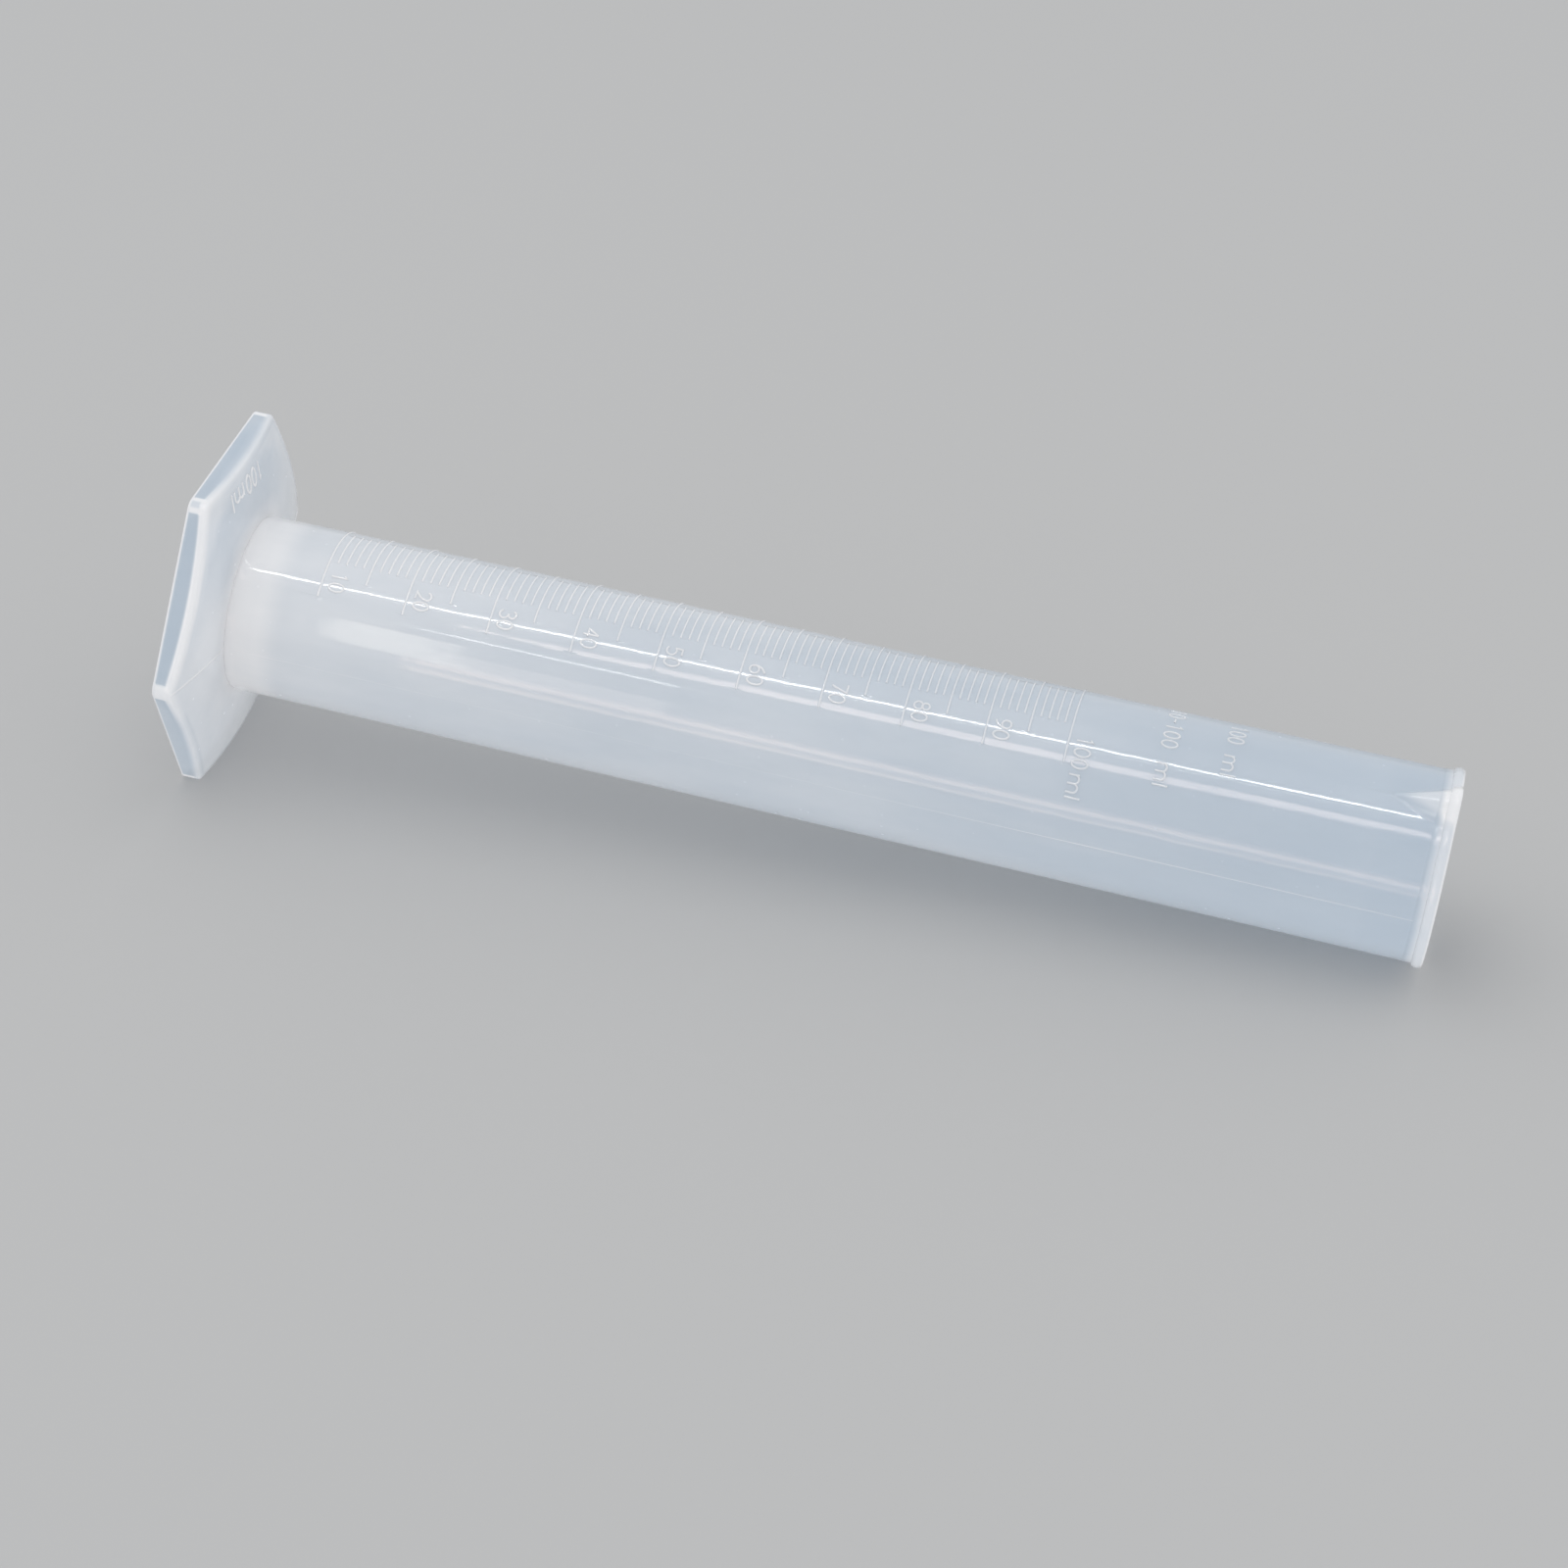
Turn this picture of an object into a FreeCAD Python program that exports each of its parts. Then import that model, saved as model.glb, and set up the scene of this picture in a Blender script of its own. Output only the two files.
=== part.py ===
import FreeCAD, Part
import math
import os

import Sketcher

# A 100 ml measuring cylinder of natural polypropylene, the measuring glass of a manual rain gauge.
# The origin is the middle of the foot's underside, +Z runs up the tube, and the scale faces -Y.
# A corner of the hexagonal foot points along +X, and the tube's mould seam lies in the XZ plane.

Vector = FreeCAD.Vector
UP = Vector(0, 0, 1)

SIZES = [
    # alias, value, what it is (mm, degrees or ml)
    ("foot_circumradius", 33.2, "foot: middle to a sharp corner, before rounding"),
    ("foot_corner_radius", 2.2, "foot: rounding of its six upright corners"),
    ("dome_radius", 124.0, "foot: radius of the domed top"),
    ("dome_peak", 7.78, "foot: level the dome would reach on the axis"),
    ("seat_level", 6.7, "level of the flat seat that the tube stands on"),
    ("foot_wall", 1.5, "foot: thickness of its skirt and top"),
    ("plug_top", 16.0, "foot: top of the plug that the tube is pressed over"),
    ("plug_wall", 1.25, "foot: thickness of the plug and of the cup's floor"),
    ("plug_chamfer", 0.5, "foot: lead-in on the plug's upper outer edge"),
    ("floor_level", 4.25, "foot: inside floor, where the measured water starts"),
    ("tube_height", 218.6, "level of the mouth"),
    ("tube_radius_low", 15.6, "tube: outside radius at the seat"),
    ("tube_radius_mouth", 16.7, "tube: outside radius at the mouth"),
    ("tube_wall", 1.25, "tube: wall thickness"),
    ("tube_bevel", 2.1, "tube: height of the rounded lower edge"),
    ("neck_height", 3.4, "rim: the wall is a hair thicker from here up"),
    ("neck_step", 0.1, "rim: how much thicker"),
    ("bead_height", 2.0, "rim: height of the rounded bead"),
    ("bead_proud", 0.6, "rim: how far the bead stands out"),
    ("spout_angle", -72.8, "spout: direction round the tube, from +X"),
    ("spout_height", 12.1, "spout: from its point up to the mouth"),
    ("spout_centre", 15.5, "spout: centre of its round mouth section"),
    ("spout_radius", 5.0, "spout: radius of its round mouth section"),
    ("spout_wall", 1.1, "spout: wall thickness"),
    ("scale_angle", -90.0, "scale: middle of its lines, from +X"),
    ("minor_half_angle", 17.2, "scale: half the sweep of a 1 ml line"),
    ("medium_half_angle", 29.3, "scale: half the sweep of a 5 ml line"),
    ("major_half_angle", 43.0, "scale: half the sweep of a 10 ml line"),
    ("scale_start", 10.0, "scale: lowest line, ml"),
    ("scale_end", 100.0, "scale: highest line, ml"),
    ("mark_width", 0.42, "raised marks: width of a line or stroke"),
    ("mark_proud", 0.25, "raised marks: height above the wall"),
    ("digit_height", 2.7, "numerals: height between the middles of their strokes"),
    ("digit_width", 1.5, "numerals: width between the middles of their strokes"),
    ("digit_pitch", 7.25, "numerals: step round the tube, degrees"),
    ("digit_start", -62.5, "numerals: middle of the first digit, from +X"),
    ("digit_gap", 1.35, "numerals: from their line up to their lowest stroke"),
]


def make_sheet(doc):
    """Put the driving dimensions in a spreadsheet, one row each."""
    sheet = doc.addObject("Spreadsheet::Sheet", "sizes")
    for row, (alias, value, note) in enumerate(SIZES, start=1):
        sheet.set(f"A{row}", alias)
        sheet.set(f"B{row}", str(value))
        sheet.set(f"C{row}", note)
        sheet.setAlias(f"B{row}", alias)
    doc.recompute()
    return sheet


def origin_plane(body, role):
    """The body's own origin plane or axis with this role."""
    return next(item for item in body.Origin.OriginFeatures if item.Role == role)


def make_body(doc, label):
    body = doc.addObject("PartDesign::Body", label)
    body.Label = label
    return body


def make_sketch(body, name, role="XZ_Plane"):
    sketch = body.newObject("Sketcher::SketchObject", name)
    sketch.AttachmentSupport = [(origin_plane(body, role), "")]
    sketch.MapMode = "FlatFace"
    return sketch


def bind_point(sketch, geometry, end, across, level):
    """Dimension one end of a line from the sketch's origin, each way bound to an expression."""
    for kind, expression in (("DistanceX", across), ("DistanceY", level)):
        if expression == "0":
            axis = -2 if kind == "DistanceX" else -1
            sketch.addConstraint(Sketcher.Constraint("PointOnObject", geometry, end, axis))
        else:
            index = sketch.addConstraint(Sketcher.Constraint(kind, -1, 1, geometry, end, 1.0))
            sketch.setExpression(f"Constraints[{index}]", expression)


def add_revolution(body, sketch, name, subtract=False):
    kind = "PartDesign::Groove" if subtract else "PartDesign::Revolution"
    feature = body.newObject(kind, name)
    feature.Profile = sketch
    feature.ReferenceAxis = (sketch, ["V_Axis"])
    feature.Angle = 360
    sketch.Visibility = False
    return feature


def polygon_sketch(body, name, corners):
    """A closed outline of straight sides, each corner (x, y) given as sheet expressions."""
    sketch = make_sketch(body, name)
    values = []
    for across, level in corners:
        values.append(Vector(evaluate(body, across), evaluate(body, level), 0))
    count = len(values)
    for index in range(count):
        sketch.addGeometry(Part.LineSegment(values[index], values[(index + 1) % count]))
    for index in range(count):
        sketch.addConstraint(
            Sketcher.Constraint("Coincident", index, 2, (index + 1) % count, 1))
    for index, (across, level) in enumerate(corners):
        bind_point(sketch, index, 1, across, level)
    return sketch


def evaluate(body, expression):
    """The present value of a sheet expression, used to draw geometry near its final place."""
    value = body.evalExpression(expression)
    return float(getattr(value, "Value", value))


def circle_sketch(body, name, centre, level, radius):
    """A circle in a horizontal plane at this level, its centre out along the spout's direction."""
    sketch = make_sketch(body, name, "XY_Plane")
    sketch.setExpression("AttachmentOffset.Base.z", level)
    sketch.setExpression("AttachmentOffset.Rotation.Angle", "sizes.spout_angle")
    sketch.addGeometry(Part.Circle(Vector(evaluate(body, centre), 0, 0), UP, evaluate(body, radius)))
    index = sketch.addConstraint(Sketcher.Constraint("Radius", 0, evaluate(body, radius)))
    sketch.setExpression(f"Constraints[{index}]", radius)
    bind_point(sketch, 0, 3, centre, "0")
    return sketch


def add_loft(body, name, sections, subtract=False):
    kind = "PartDesign::SubtractiveLoft" if subtract else "PartDesign::AdditiveLoft"
    feature = body.newObject(kind, name)
    feature.Profile = sections[0]
    feature.Sections = sections[1:]
    feature.Ruled = True
    for sketch in sections:
        sketch.Visibility = False
    return feature


# ---------------------------------------------------------------- foot

def hexagon_sketch(body):
    """A regular hexagon on the ground plane, its corners on a circle and one of them on +X."""
    sketch = make_sketch(body, "foot_outline", "XY_Plane")
    radius = evaluate(body, "sizes.foot_circumradius")
    corners = [Vector(radius * math.cos(math.radians(60 * step)),
                      radius * math.sin(math.radians(60 * step)), 0) for step in range(6)]
    for step in range(6):
        sketch.addGeometry(Part.LineSegment(corners[step], corners[(step + 1) % 6]))
    circle = sketch.addGeometry(Part.Circle(Vector(0, 0, 0), UP, radius), True)
    sketch.addConstraint(Sketcher.Constraint("Coincident", circle, 3, -1, 1))
    index = sketch.addConstraint(Sketcher.Constraint("Radius", circle, radius))
    sketch.setExpression(f"Constraints[{index}]", "sizes.foot_circumradius")
    for step in range(6):
        sketch.addConstraint(Sketcher.Constraint("Coincident", step, 2, (step + 1) % 6, 1))
        sketch.addConstraint(Sketcher.Constraint("PointOnObject", step, 1, circle))
    for step in range(1, 6):
        sketch.addConstraint(Sketcher.Constraint("Equal", 0, step))
    sketch.addConstraint(Sketcher.Constraint("PointOnObject", 0, 1, -1))
    return sketch


def make_foot_block(doc):
    """The foot as a solid block with rounded corners, a domed top and the plug standing on it."""
    body = make_body(doc, "foot_block")
    outline = hexagon_sketch(body)
    pad = body.newObject("PartDesign::Pad", "foot_pad")
    pad.Profile = outline
    pad.setExpression("Length", "sizes.seat_level")
    doc.recompute()

    upright = [f"Edge{index}" for index, edge in enumerate(pad.Shape.Edges, start=1)
               if abs(edge.tangentAt(edge.FirstParameter).z) > 0.99]
    fillet = body.newObject("PartDesign::Fillet", "foot_corners")
    fillet.Base = (pad, upright)
    fillet.setExpression("Radius", "sizes.foot_corner_radius")

    plug = polygon_sketch(body, "plug_profile", [
        ("0", "sizes.floor_level"),
        ("sizes.tube_radius_low - sizes.tube_wall", "sizes.floor_level"),
        ("sizes.tube_radius_low - sizes.tube_wall", "sizes.plug_top - sizes.plug_chamfer"),
        ("sizes.tube_radius_low - sizes.tube_wall - sizes.plug_chamfer", "sizes.plug_top"),
        ("0", "sizes.plug_top"),
    ])
    add_revolution(body, plug, "plug")

    bore = polygon_sketch(body, "plug_bore_profile", [
        ("0", "sizes.floor_level"),
        ("sizes.tube_radius_low - sizes.tube_wall - sizes.plug_wall", "sizes.floor_level"),
        ("sizes.tube_radius_low - sizes.tube_wall - sizes.plug_wall", "sizes.plug_top"),
        ("0", "sizes.plug_top"),
    ])
    add_revolution(body, bore, "plug_bore", subtract=True)
    doc.recompute()
    return body


def make_dome(doc, name, inset):
    """The ball whose cap is the foot's domed top, or the same cap lowered by an inset."""
    ball = doc.addObject("Part::Sphere", name)
    ball.setExpression("Radius", f"sizes.dome_radius - {inset}")
    ball.setExpression("Placement.Base.z", "sizes.dome_peak - sizes.dome_radius")
    return ball


def make_upper_keep(doc):
    """The space that the foot may fill: under the dome, or inside the plug's radius."""
    column = doc.addObject("Part::Cylinder", "plug_envelope")
    column.setExpression("Radius", "sizes.tube_radius_low - sizes.tube_wall")
    column.setExpression("Height", "sizes.plug_top")
    keep = doc.addObject("Part::Fuse", "foot_envelope")
    keep.Base = make_dome(doc, "dome", "0")
    keep.Tool = column
    return keep


def make_foot_hollow(doc):
    """The space under the foot, open below, with the cup's floor and wall left standing in it."""
    prism = doc.addObject("Part::Prism", "hollow_prism")
    prism.Polygon = 6
    prism.setExpression("Circumradius", "sizes.foot_circumradius - sizes.foot_wall / cos(30)")
    prism.setExpression("Height", "sizes.seat_level")
    under_dome = doc.addObject("Part::Common", "hollow_under_dome")
    under_dome.Base = prism
    under_dome.Tool = make_dome(doc, "dome_inside", "sizes.foot_wall")

    cup = doc.addObject("Part::Cylinder", "cup_outside")
    cup.setExpression("Radius", "sizes.tube_radius_low - sizes.tube_wall")
    cup.setExpression("Height", "sizes.plug_top")
    cup.setExpression("Placement.Base.z", "sizes.floor_level - sizes.plug_wall")
    hollow = doc.addObject("Part::Cut", "foot_hollow")
    hollow.Base = under_dome
    hollow.Tool = cup
    return hollow


def make_foot(doc):
    """The foot: block, trimmed to the dome, and hollowed from below."""
    domed = doc.addObject("Part::Common", "foot_domed")
    domed.Base = make_foot_block(doc)
    domed.Tool = make_upper_keep(doc)
    foot = doc.addObject("Part::Cut", "hex_foot")
    foot.Base = domed
    foot.Tool = make_foot_hollow(doc)
    foot.Label = "hex_foot"
    return foot


# ---------------------------------------------------------------- tube

def make_tube_shell(doc):
    """The plain tube: tapered wall, rounded lower edge, rim bead, pouring spout and bore."""
    body = make_body(doc, "tube_shell")
    mouth = "sizes.tube_height"
    profile = polygon_sketch(body, "tube_profile", [
        ("0", "sizes.seat_level"),
        ("sizes.tube_radius_low - 0.6 * sizes.tube_wall", "sizes.seat_level"),
        ("sizes.tube_radius_low - 0.2 * sizes.tube_wall",
         "sizes.seat_level + 0.3 * sizes.tube_bevel"),
        ("sizes.tube_radius_low", "sizes.seat_level + sizes.tube_bevel"),
        ("sizes.tube_radius_mouth", f"{mouth} - sizes.neck_height - sizes.neck_step"),
        ("sizes.tube_radius_mouth + sizes.neck_step", f"{mouth} - sizes.neck_height"),
        ("sizes.tube_radius_mouth + sizes.neck_step", f"{mouth} - sizes.bead_height"),
        ("sizes.tube_radius_mouth + sizes.bead_proud",
         f"{mouth} - sizes.bead_height + sizes.bead_proud"),
        ("sizes.tube_radius_mouth + sizes.bead_proud", f"{mouth} - sizes.bead_proud"),
        ("sizes.tube_radius_mouth", mouth),
        ("0", mouth),
    ])
    add_revolution(body, profile, "tube_outside")

    point = f"{mouth} - sizes.spout_height"
    tip = circle_sketch(body, "spout_point", "sizes.tube_radius_mouth - 0.3", point, "0.2")
    lip = circle_sketch(body, "spout_mouth", "sizes.spout_centre", mouth, "sizes.spout_radius")
    add_loft(body, "spout_outside", [tip, lip])

    bead_low = circle_sketch(body, "spout_bead_low", "sizes.spout_centre",
                             f"{mouth} - sizes.bead_height", "sizes.spout_radius")
    bead_mid = circle_sketch(body, "spout_bead_middle", "sizes.spout_centre",
                             f"{mouth} - 0.5 * sizes.bead_height",
                             "sizes.spout_radius + sizes.bead_proud")
    bead_top = circle_sketch(body, "spout_bead_top", "sizes.spout_centre", mouth,
                             "sizes.spout_radius")
    add_loft(body, "spout_bead", [bead_low, bead_mid, bead_top])

    bore = polygon_sketch(body, "bore_profile", [
        ("0", "sizes.seat_level"),
        ("sizes.tube_radius_low - sizes.tube_wall", "sizes.seat_level"),
        ("sizes.tube_radius_low - sizes.tube_wall", "sizes.plug_top"),
        ("sizes.tube_radius_mouth - sizes.tube_wall", mouth),
        ("0", mouth),
    ])
    add_revolution(body, bore, "bore", subtract=True)

    start = f"{point} + 2.5"
    channel_low = circle_sketch(body, "channel_low", "sizes.tube_radius_mouth - 0.5", start, "0.1")
    channel_top = circle_sketch(body, "channel_top", "sizes.spout_centre", mouth,
                                "sizes.spout_radius - sizes.spout_wall")
    add_loft(body, "spout_channel", [channel_low, channel_top], subtract=True)
    doc.recompute()
    return body


def outer_radius(sheet, level):
    """Outside radius of the tube's tapered wall at this level."""
    low = sheet.seat_level + sheet.tube_bevel
    share = (level - low) / (sheet.tube_height - sheet.neck_height - low)
    return sheet.tube_radius_low + share * (sheet.tube_radius_mouth - sheet.tube_radius_low)


def volume_below(sheet, level):
    """Water held below this level, in ml: the plug's straight bore, then the tapered bore."""
    plug_radius = sheet.tube_radius_low - sheet.tube_wall - sheet.plug_wall
    in_plug = math.pi * plug_radius ** 2 * (sheet.plug_top - sheet.floor_level)
    low = outer_radius(sheet, sheet.plug_top) - sheet.tube_wall
    high = outer_radius(sheet, level) - sheet.tube_wall
    in_tube = math.pi * (level - sheet.plug_top) * (low ** 2 + low * high + high ** 2) / 3
    return (in_plug + in_tube) / 1000


def mark_level(sheet, millilitres):
    """The level that this volume reaches, found by halving the range it lies in."""
    low = sheet.plug_top
    high = sheet.tube_height
    for _ in range(40):
        middle = (low + high) / 2
        if volume_below(sheet, middle) < millilitres:
            low = middle
        else:
            high = middle
    return low


def ring_mark(sheet, level, half_angle):
    """One raised scale line: a low ridge that runs part of the way round the tube."""
    radius = outer_radius(sheet, level)
    root = radius - sheet.mark_proud
    crest = radius + sheet.mark_proud
    half = sheet.mark_width / 2
    outline = Part.makePolygon([
        Vector(root, 0, level - half), Vector(crest, 0, level - half * 0.7),
        Vector(crest, 0, level + half * 0.7), Vector(root, 0, level + half),
        Vector(root, 0, level - half)])
    face = Part.Face(outline)
    face.rotate(Vector(0, 0, 0), UP, sheet.scale_angle - half_angle)
    return face.revolve(Vector(0, 0, 0), UP, 2 * half_angle)


def line_marks(sheet):
    """The scale: a line each 1 ml, longer each 5 ml and longest each 10 ml."""
    marks = []
    for millilitres in range(int(sheet.scale_start), int(sheet.scale_end) + 1):
        half_angle = sheet.minor_half_angle
        if millilitres % 10 == 0:
            half_angle = sheet.major_half_angle
        elif millilitres % 5 == 0:
            half_angle = sheet.medium_half_angle
        marks.append(ring_mark(sheet, mark_level(sheet, millilitres), half_angle))
    return marks


def glyph_strokes(sign):
    """The strokes of a numeral or unit letter in a cell 1 wide and 1 high, where the broad m
    takes the cell after it too. A pair of numbers is a point, four are an arc through one point
    to another, and a ring has its own entry."""
    return {
        "0": [{"ring": (0.5, 0.5, 0.5, 0.5)}],
        "1": [[(0.25, 0.85), (0.5, 1.0), (0.5, 0.0)]],
        "2": [[(0.0, 0.76), (0.5, 1.0, 1.0, 0.76), (0.84, 0.46, 0.0, 0.0), (1.0, 0.0)]],
        "3": [[(0.0, 0.86), (0.9, 0.8, 0.4, 0.54)], [(0.4, 0.54), (1.0, 0.27, 0.0, 0.12)]],
        "4": [[(0.72, 1.0), (0.0, 0.3), (1.0, 0.3)], [(0.72, 1.0), (0.72, 0.0)]],
        "5": [[(0.92, 1.0), (0.12, 1.0), (0.06, 0.57), (1.0, 0.33, 0.0, 0.07)]],
        "6": [{"ring": (0.5, 0.3, 0.5, 0.3)}, [(0.85, 1.0), (0.2, 0.72, 0.0, 0.3)]],
        "7": [[(0.0, 1.0), (1.0, 1.0), (0.35, 0.0)]],
        "8": [{"ring": (0.5, 0.76, 0.42, 0.24)}, {"ring": (0.5, 0.28, 0.5, 0.28)}],
        "9": [{"ring": (0.5, 0.7, 0.5, 0.3)}, [(0.15, 0.0), (0.8, 0.28, 1.0, 0.7)]],
        "m": [[(0.4, 0.0), (0.4, 0.7)],
              [(0.4, 0.5), (0.9, 0.7, 1.4, 0.5), (1.4, 0.0)],
              [(1.4, 0.5), (1.9, 0.7, 2.4, 0.5), (2.4, 0.0)]],
        "l": [[(1.6, 0.0), (1.6, 1.0)]],
    }[sign]


def ring_face(sheet, centre_x, centre_y, half_width, half_height):
    """A closed oval stroke."""
    centre = Vector(centre_x * sheet.digit_width, centre_y * sheet.digit_height, 0)
    faces = []
    for side in (0.5, -0.5):
        across = half_width * sheet.digit_width + side * sheet.mark_width
        along = half_height * sheet.digit_height + side * sheet.mark_width
        oval = Part.Ellipse(centre + Vector(0, along, 0), centre + Vector(across, 0, 0), centre)
        faces.append(Part.Face(Part.Wire(oval.toShape())))
    return faces[0].cut(faces[1]).Faces[0]


def stroke_face(sheet, points):
    """An open stroke with round ends, as a flat face."""
    half = sheet.mark_width / 2
    sized = [[value * (sheet.digit_height if index % 2 else sheet.digit_width)
              for index, value in enumerate(point)] for point in points]
    start = Vector(sized[0][0], sized[0][1], 0)
    if len(sized) == 2 and len(sized[1]) == 2:
        end = Vector(sized[1][0], sized[1][1], 0)
        along = (end - start).normalize() * half
        side = Vector(-along.y, along.x, 0)
        outline = Part.Wire([
            Part.makeLine(start + side, end + side),
            Part.Arc(end + side, end + along, end - side).toShape(),
            Part.makeLine(end - side, start - side),
            Part.Arc(start - side, start - along, start + side).toShape()])
        return Part.Face(outline)
    runs = []
    for point in sized[1:]:
        end = Vector(point[-2], point[-1], 0)
        if len(point) == 4:
            runs.append(Part.Arc(start, Vector(point[0], point[1], 0), end).toShape())
        else:
            runs.append(Part.makeLine(start, end))
        start = end
    return Part.Face(Part.Wire(runs).makeOffset2D(half, 0, False, False).Wires[0])


def glyph_solid(sheet, sign):
    """One numeral or letter as a raised block, standing on the XY plane and centred in X."""
    solids = []
    for stroke in glyph_strokes(sign):
        if isinstance(stroke, dict):
            face = ring_face(sheet, *stroke["ring"])
        else:
            face = stroke_face(sheet, stroke)
        solids.append(face.extrude(Vector(0, 0, 4 * sheet.mark_proud)))
    block = solids[0]
    if len(solids) > 1:
        block = block.multiFuse(solids[1:])
    block.translate(Vector(-sheet.digit_width / 2, 0, 0))
    return block


def numeral_solids(sheet):
    """The numerals above the 10 ml lines, each digit turned to face out from the wall."""
    blocks = {sign: glyph_solid(sheet, sign) for sign in "0123456789ml"}
    placed = []
    for millilitres in range(int(sheet.scale_start), int(sheet.scale_end) + 1, 10):
        text = str(millilitres)
        if millilitres == sheet.scale_end:
            text += "ml"
        foot = mark_level(sheet, millilitres) + sheet.digit_gap
        for index, sign in enumerate(text):
            angle = sheet.digit_start + index * sheet.digit_pitch
            block = blocks[sign].copy()
            block.rotate(Vector(0, 0, 0), Vector(1, 0, 0), 90)
            block.rotate(Vector(0, 0, 0), UP, 90)
            block.translate(Vector(outer_radius(sheet, foot) - sheet.mark_proud, 0, foot))
            block.rotate(Vector(0, 0, 0), UP, angle)
            placed.append(block)
    return placed


def make_raised_scale(sheet):
    """Every raised mark, trimmed so that the numerals follow the tapered wall."""
    low = mark_level(sheet, sheet.scale_start)
    high = mark_level(sheet, sheet.scale_end) + 2 * sheet.digit_height
    crest = Part.makeCone(outer_radius(sheet, low) + sheet.mark_proud,
                          outer_radius(sheet, high) + sheet.mark_proud,
                          high - low, Vector(0, 0, low))
    numerals = [block.common(crest) for block in numeral_solids(sheet)]
    return Part.makeCompound(line_marks(sheet) + numerals)


def make_tube(doc, sheet):
    """The tube with its raised scale, joined into the one solid that the real moulding is."""
    shell = make_tube_shell(doc)
    joined = shell.Shape.fuse(make_raised_scale(sheet))
    tube = doc.addObject("Part::Feature", "measuring_tube")
    tube.Shape = joined.Solids[0]
    tube.Label = "measuring_tube"
    return tube


# ---------------------------------------------------------------- checks and output

def check_document(doc, parts):
    """Stop if any object failed, or if a finished part isn't one valid solid."""
    for item in doc.Objects:
        if "Invalid" in item.State or "Error" in item.State:
            raise RuntimeError(f"{item.Label} failed: {item.State}")
    for part in parts:
        shape = part.Shape
        if shape.isNull() or not shape.isValid() or len(shape.Solids) != 1:
            raise RuntimeError(f"{part.Label} is not one valid solid")


def main():
    doc = FreeCAD.newDocument("measuring_cylinder")
    sheet = make_sheet(doc)
    parts = [make_foot(doc), make_tube(doc, sheet)]
    doc.recompute()
    check_document(doc, parts)
    os.makedirs("parts", exist_ok=True)
    for part in parts:
        part.Shape.exportStep(f"parts/{part.Label}.step")


main()
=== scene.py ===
import math

import bpy
from mathutils import Matrix, Quaternion, Vector


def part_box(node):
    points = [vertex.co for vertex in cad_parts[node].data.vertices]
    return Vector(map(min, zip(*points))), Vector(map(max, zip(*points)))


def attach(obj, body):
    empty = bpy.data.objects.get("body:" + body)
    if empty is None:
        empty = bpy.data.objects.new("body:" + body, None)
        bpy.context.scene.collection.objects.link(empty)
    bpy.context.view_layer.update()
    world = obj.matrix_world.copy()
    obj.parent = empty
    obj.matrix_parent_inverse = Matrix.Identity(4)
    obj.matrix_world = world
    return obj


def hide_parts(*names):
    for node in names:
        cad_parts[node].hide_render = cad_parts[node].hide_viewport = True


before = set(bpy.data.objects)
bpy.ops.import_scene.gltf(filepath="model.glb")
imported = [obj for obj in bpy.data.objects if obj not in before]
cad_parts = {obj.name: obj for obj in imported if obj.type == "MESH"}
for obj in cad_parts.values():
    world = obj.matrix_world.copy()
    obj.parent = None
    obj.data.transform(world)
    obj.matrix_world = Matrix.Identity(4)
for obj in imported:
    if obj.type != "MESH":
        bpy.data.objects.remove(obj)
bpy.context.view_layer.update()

FOOT_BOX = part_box("hex_foot")
TUBE_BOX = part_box("measuring_tube")

# Sizes are in millimetres and angles in degrees from +X, unless a name says otherwise. Meshes
# are scaled to metres when made.
MM = 0.001

# ---------------------------------------------------------------- sizes of the two mouldings

MOUTH = TUBE_BOX[1].z / MM
SEAT = TUBE_BOX[0].z / MM
PLUG_TOP = FOOT_BOX[1].z / MM
FOOT_REACH = FOOT_BOX[1].y / MM

TUBE_RADIUS_LOW = 15.6
TUBE_RADIUS_MOUTH = 16.7
TUBE_WALL = 1.25
BEVEL_HEIGHT = 2.1
BEVEL_DEPTH = 0.12
NECK_HEIGHT = 3.4
NECK_STEP = 0.08
BEAD_HEIGHT = 2.0
BEAD_PROUD = 0.58
LIP_INSET = 0.25

SPOUT_ANGLE = -72.8
SPOUT_HEIGHT = 12.1
SPOUT_REACH = 3.0
SPOUT_HALF_ANGLE = 20.0

SEAM_ANGLES = (0.0, 180.0)
SEAM_HALF_WIDTH = 0.45
SEAM_PROUD = 0.07
SEAM_LOW_SHARE = 0.2
SEAM_GROWS_FROM = 110
SEAM_GROWS_TO = 170
FOOT_SEAM_PROUD = 0.12

FOOT_CORNER_RADIUS = 2.2
LEAST_CORNER_RADIUS = 0.6
FOOT_WALL = 1.5
FOOT_EDGE = 0.4
DOME_RADIUS = 124.0
DOME_PEAK = 7.78
PLUG_WALL = 1.25
FLOOR_LEVEL = 4.25

SCALE_ANGLE = -90.0
SCALE_START = 10
SCALE_END = 100
MINOR_HALF_ANGLE = 17.2
MEDIUM_HALF_ANGLE = 29.3
MAJOR_HALF_ANGLE = 43.0
MARK_WIDTH = 0.46
MARK_PROUD = 0.22
MARK_END_ANGLE = 0.5
# (share of the half width, share of the height) across a raised line
MARK_PROFILE = ((-1.0, 0.0), (-0.5, 0.8), (0.0, 1.0), (0.5, 0.8), (1.0, 0.0))
# (share of the width, share of the height) across a stroke of a raised numeral
STROKE_PROFILE = ((-0.5, 0.0), (-0.28, 0.85), (0.0, 1.0), (0.28, 0.85), (0.5, 0.0))

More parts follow.
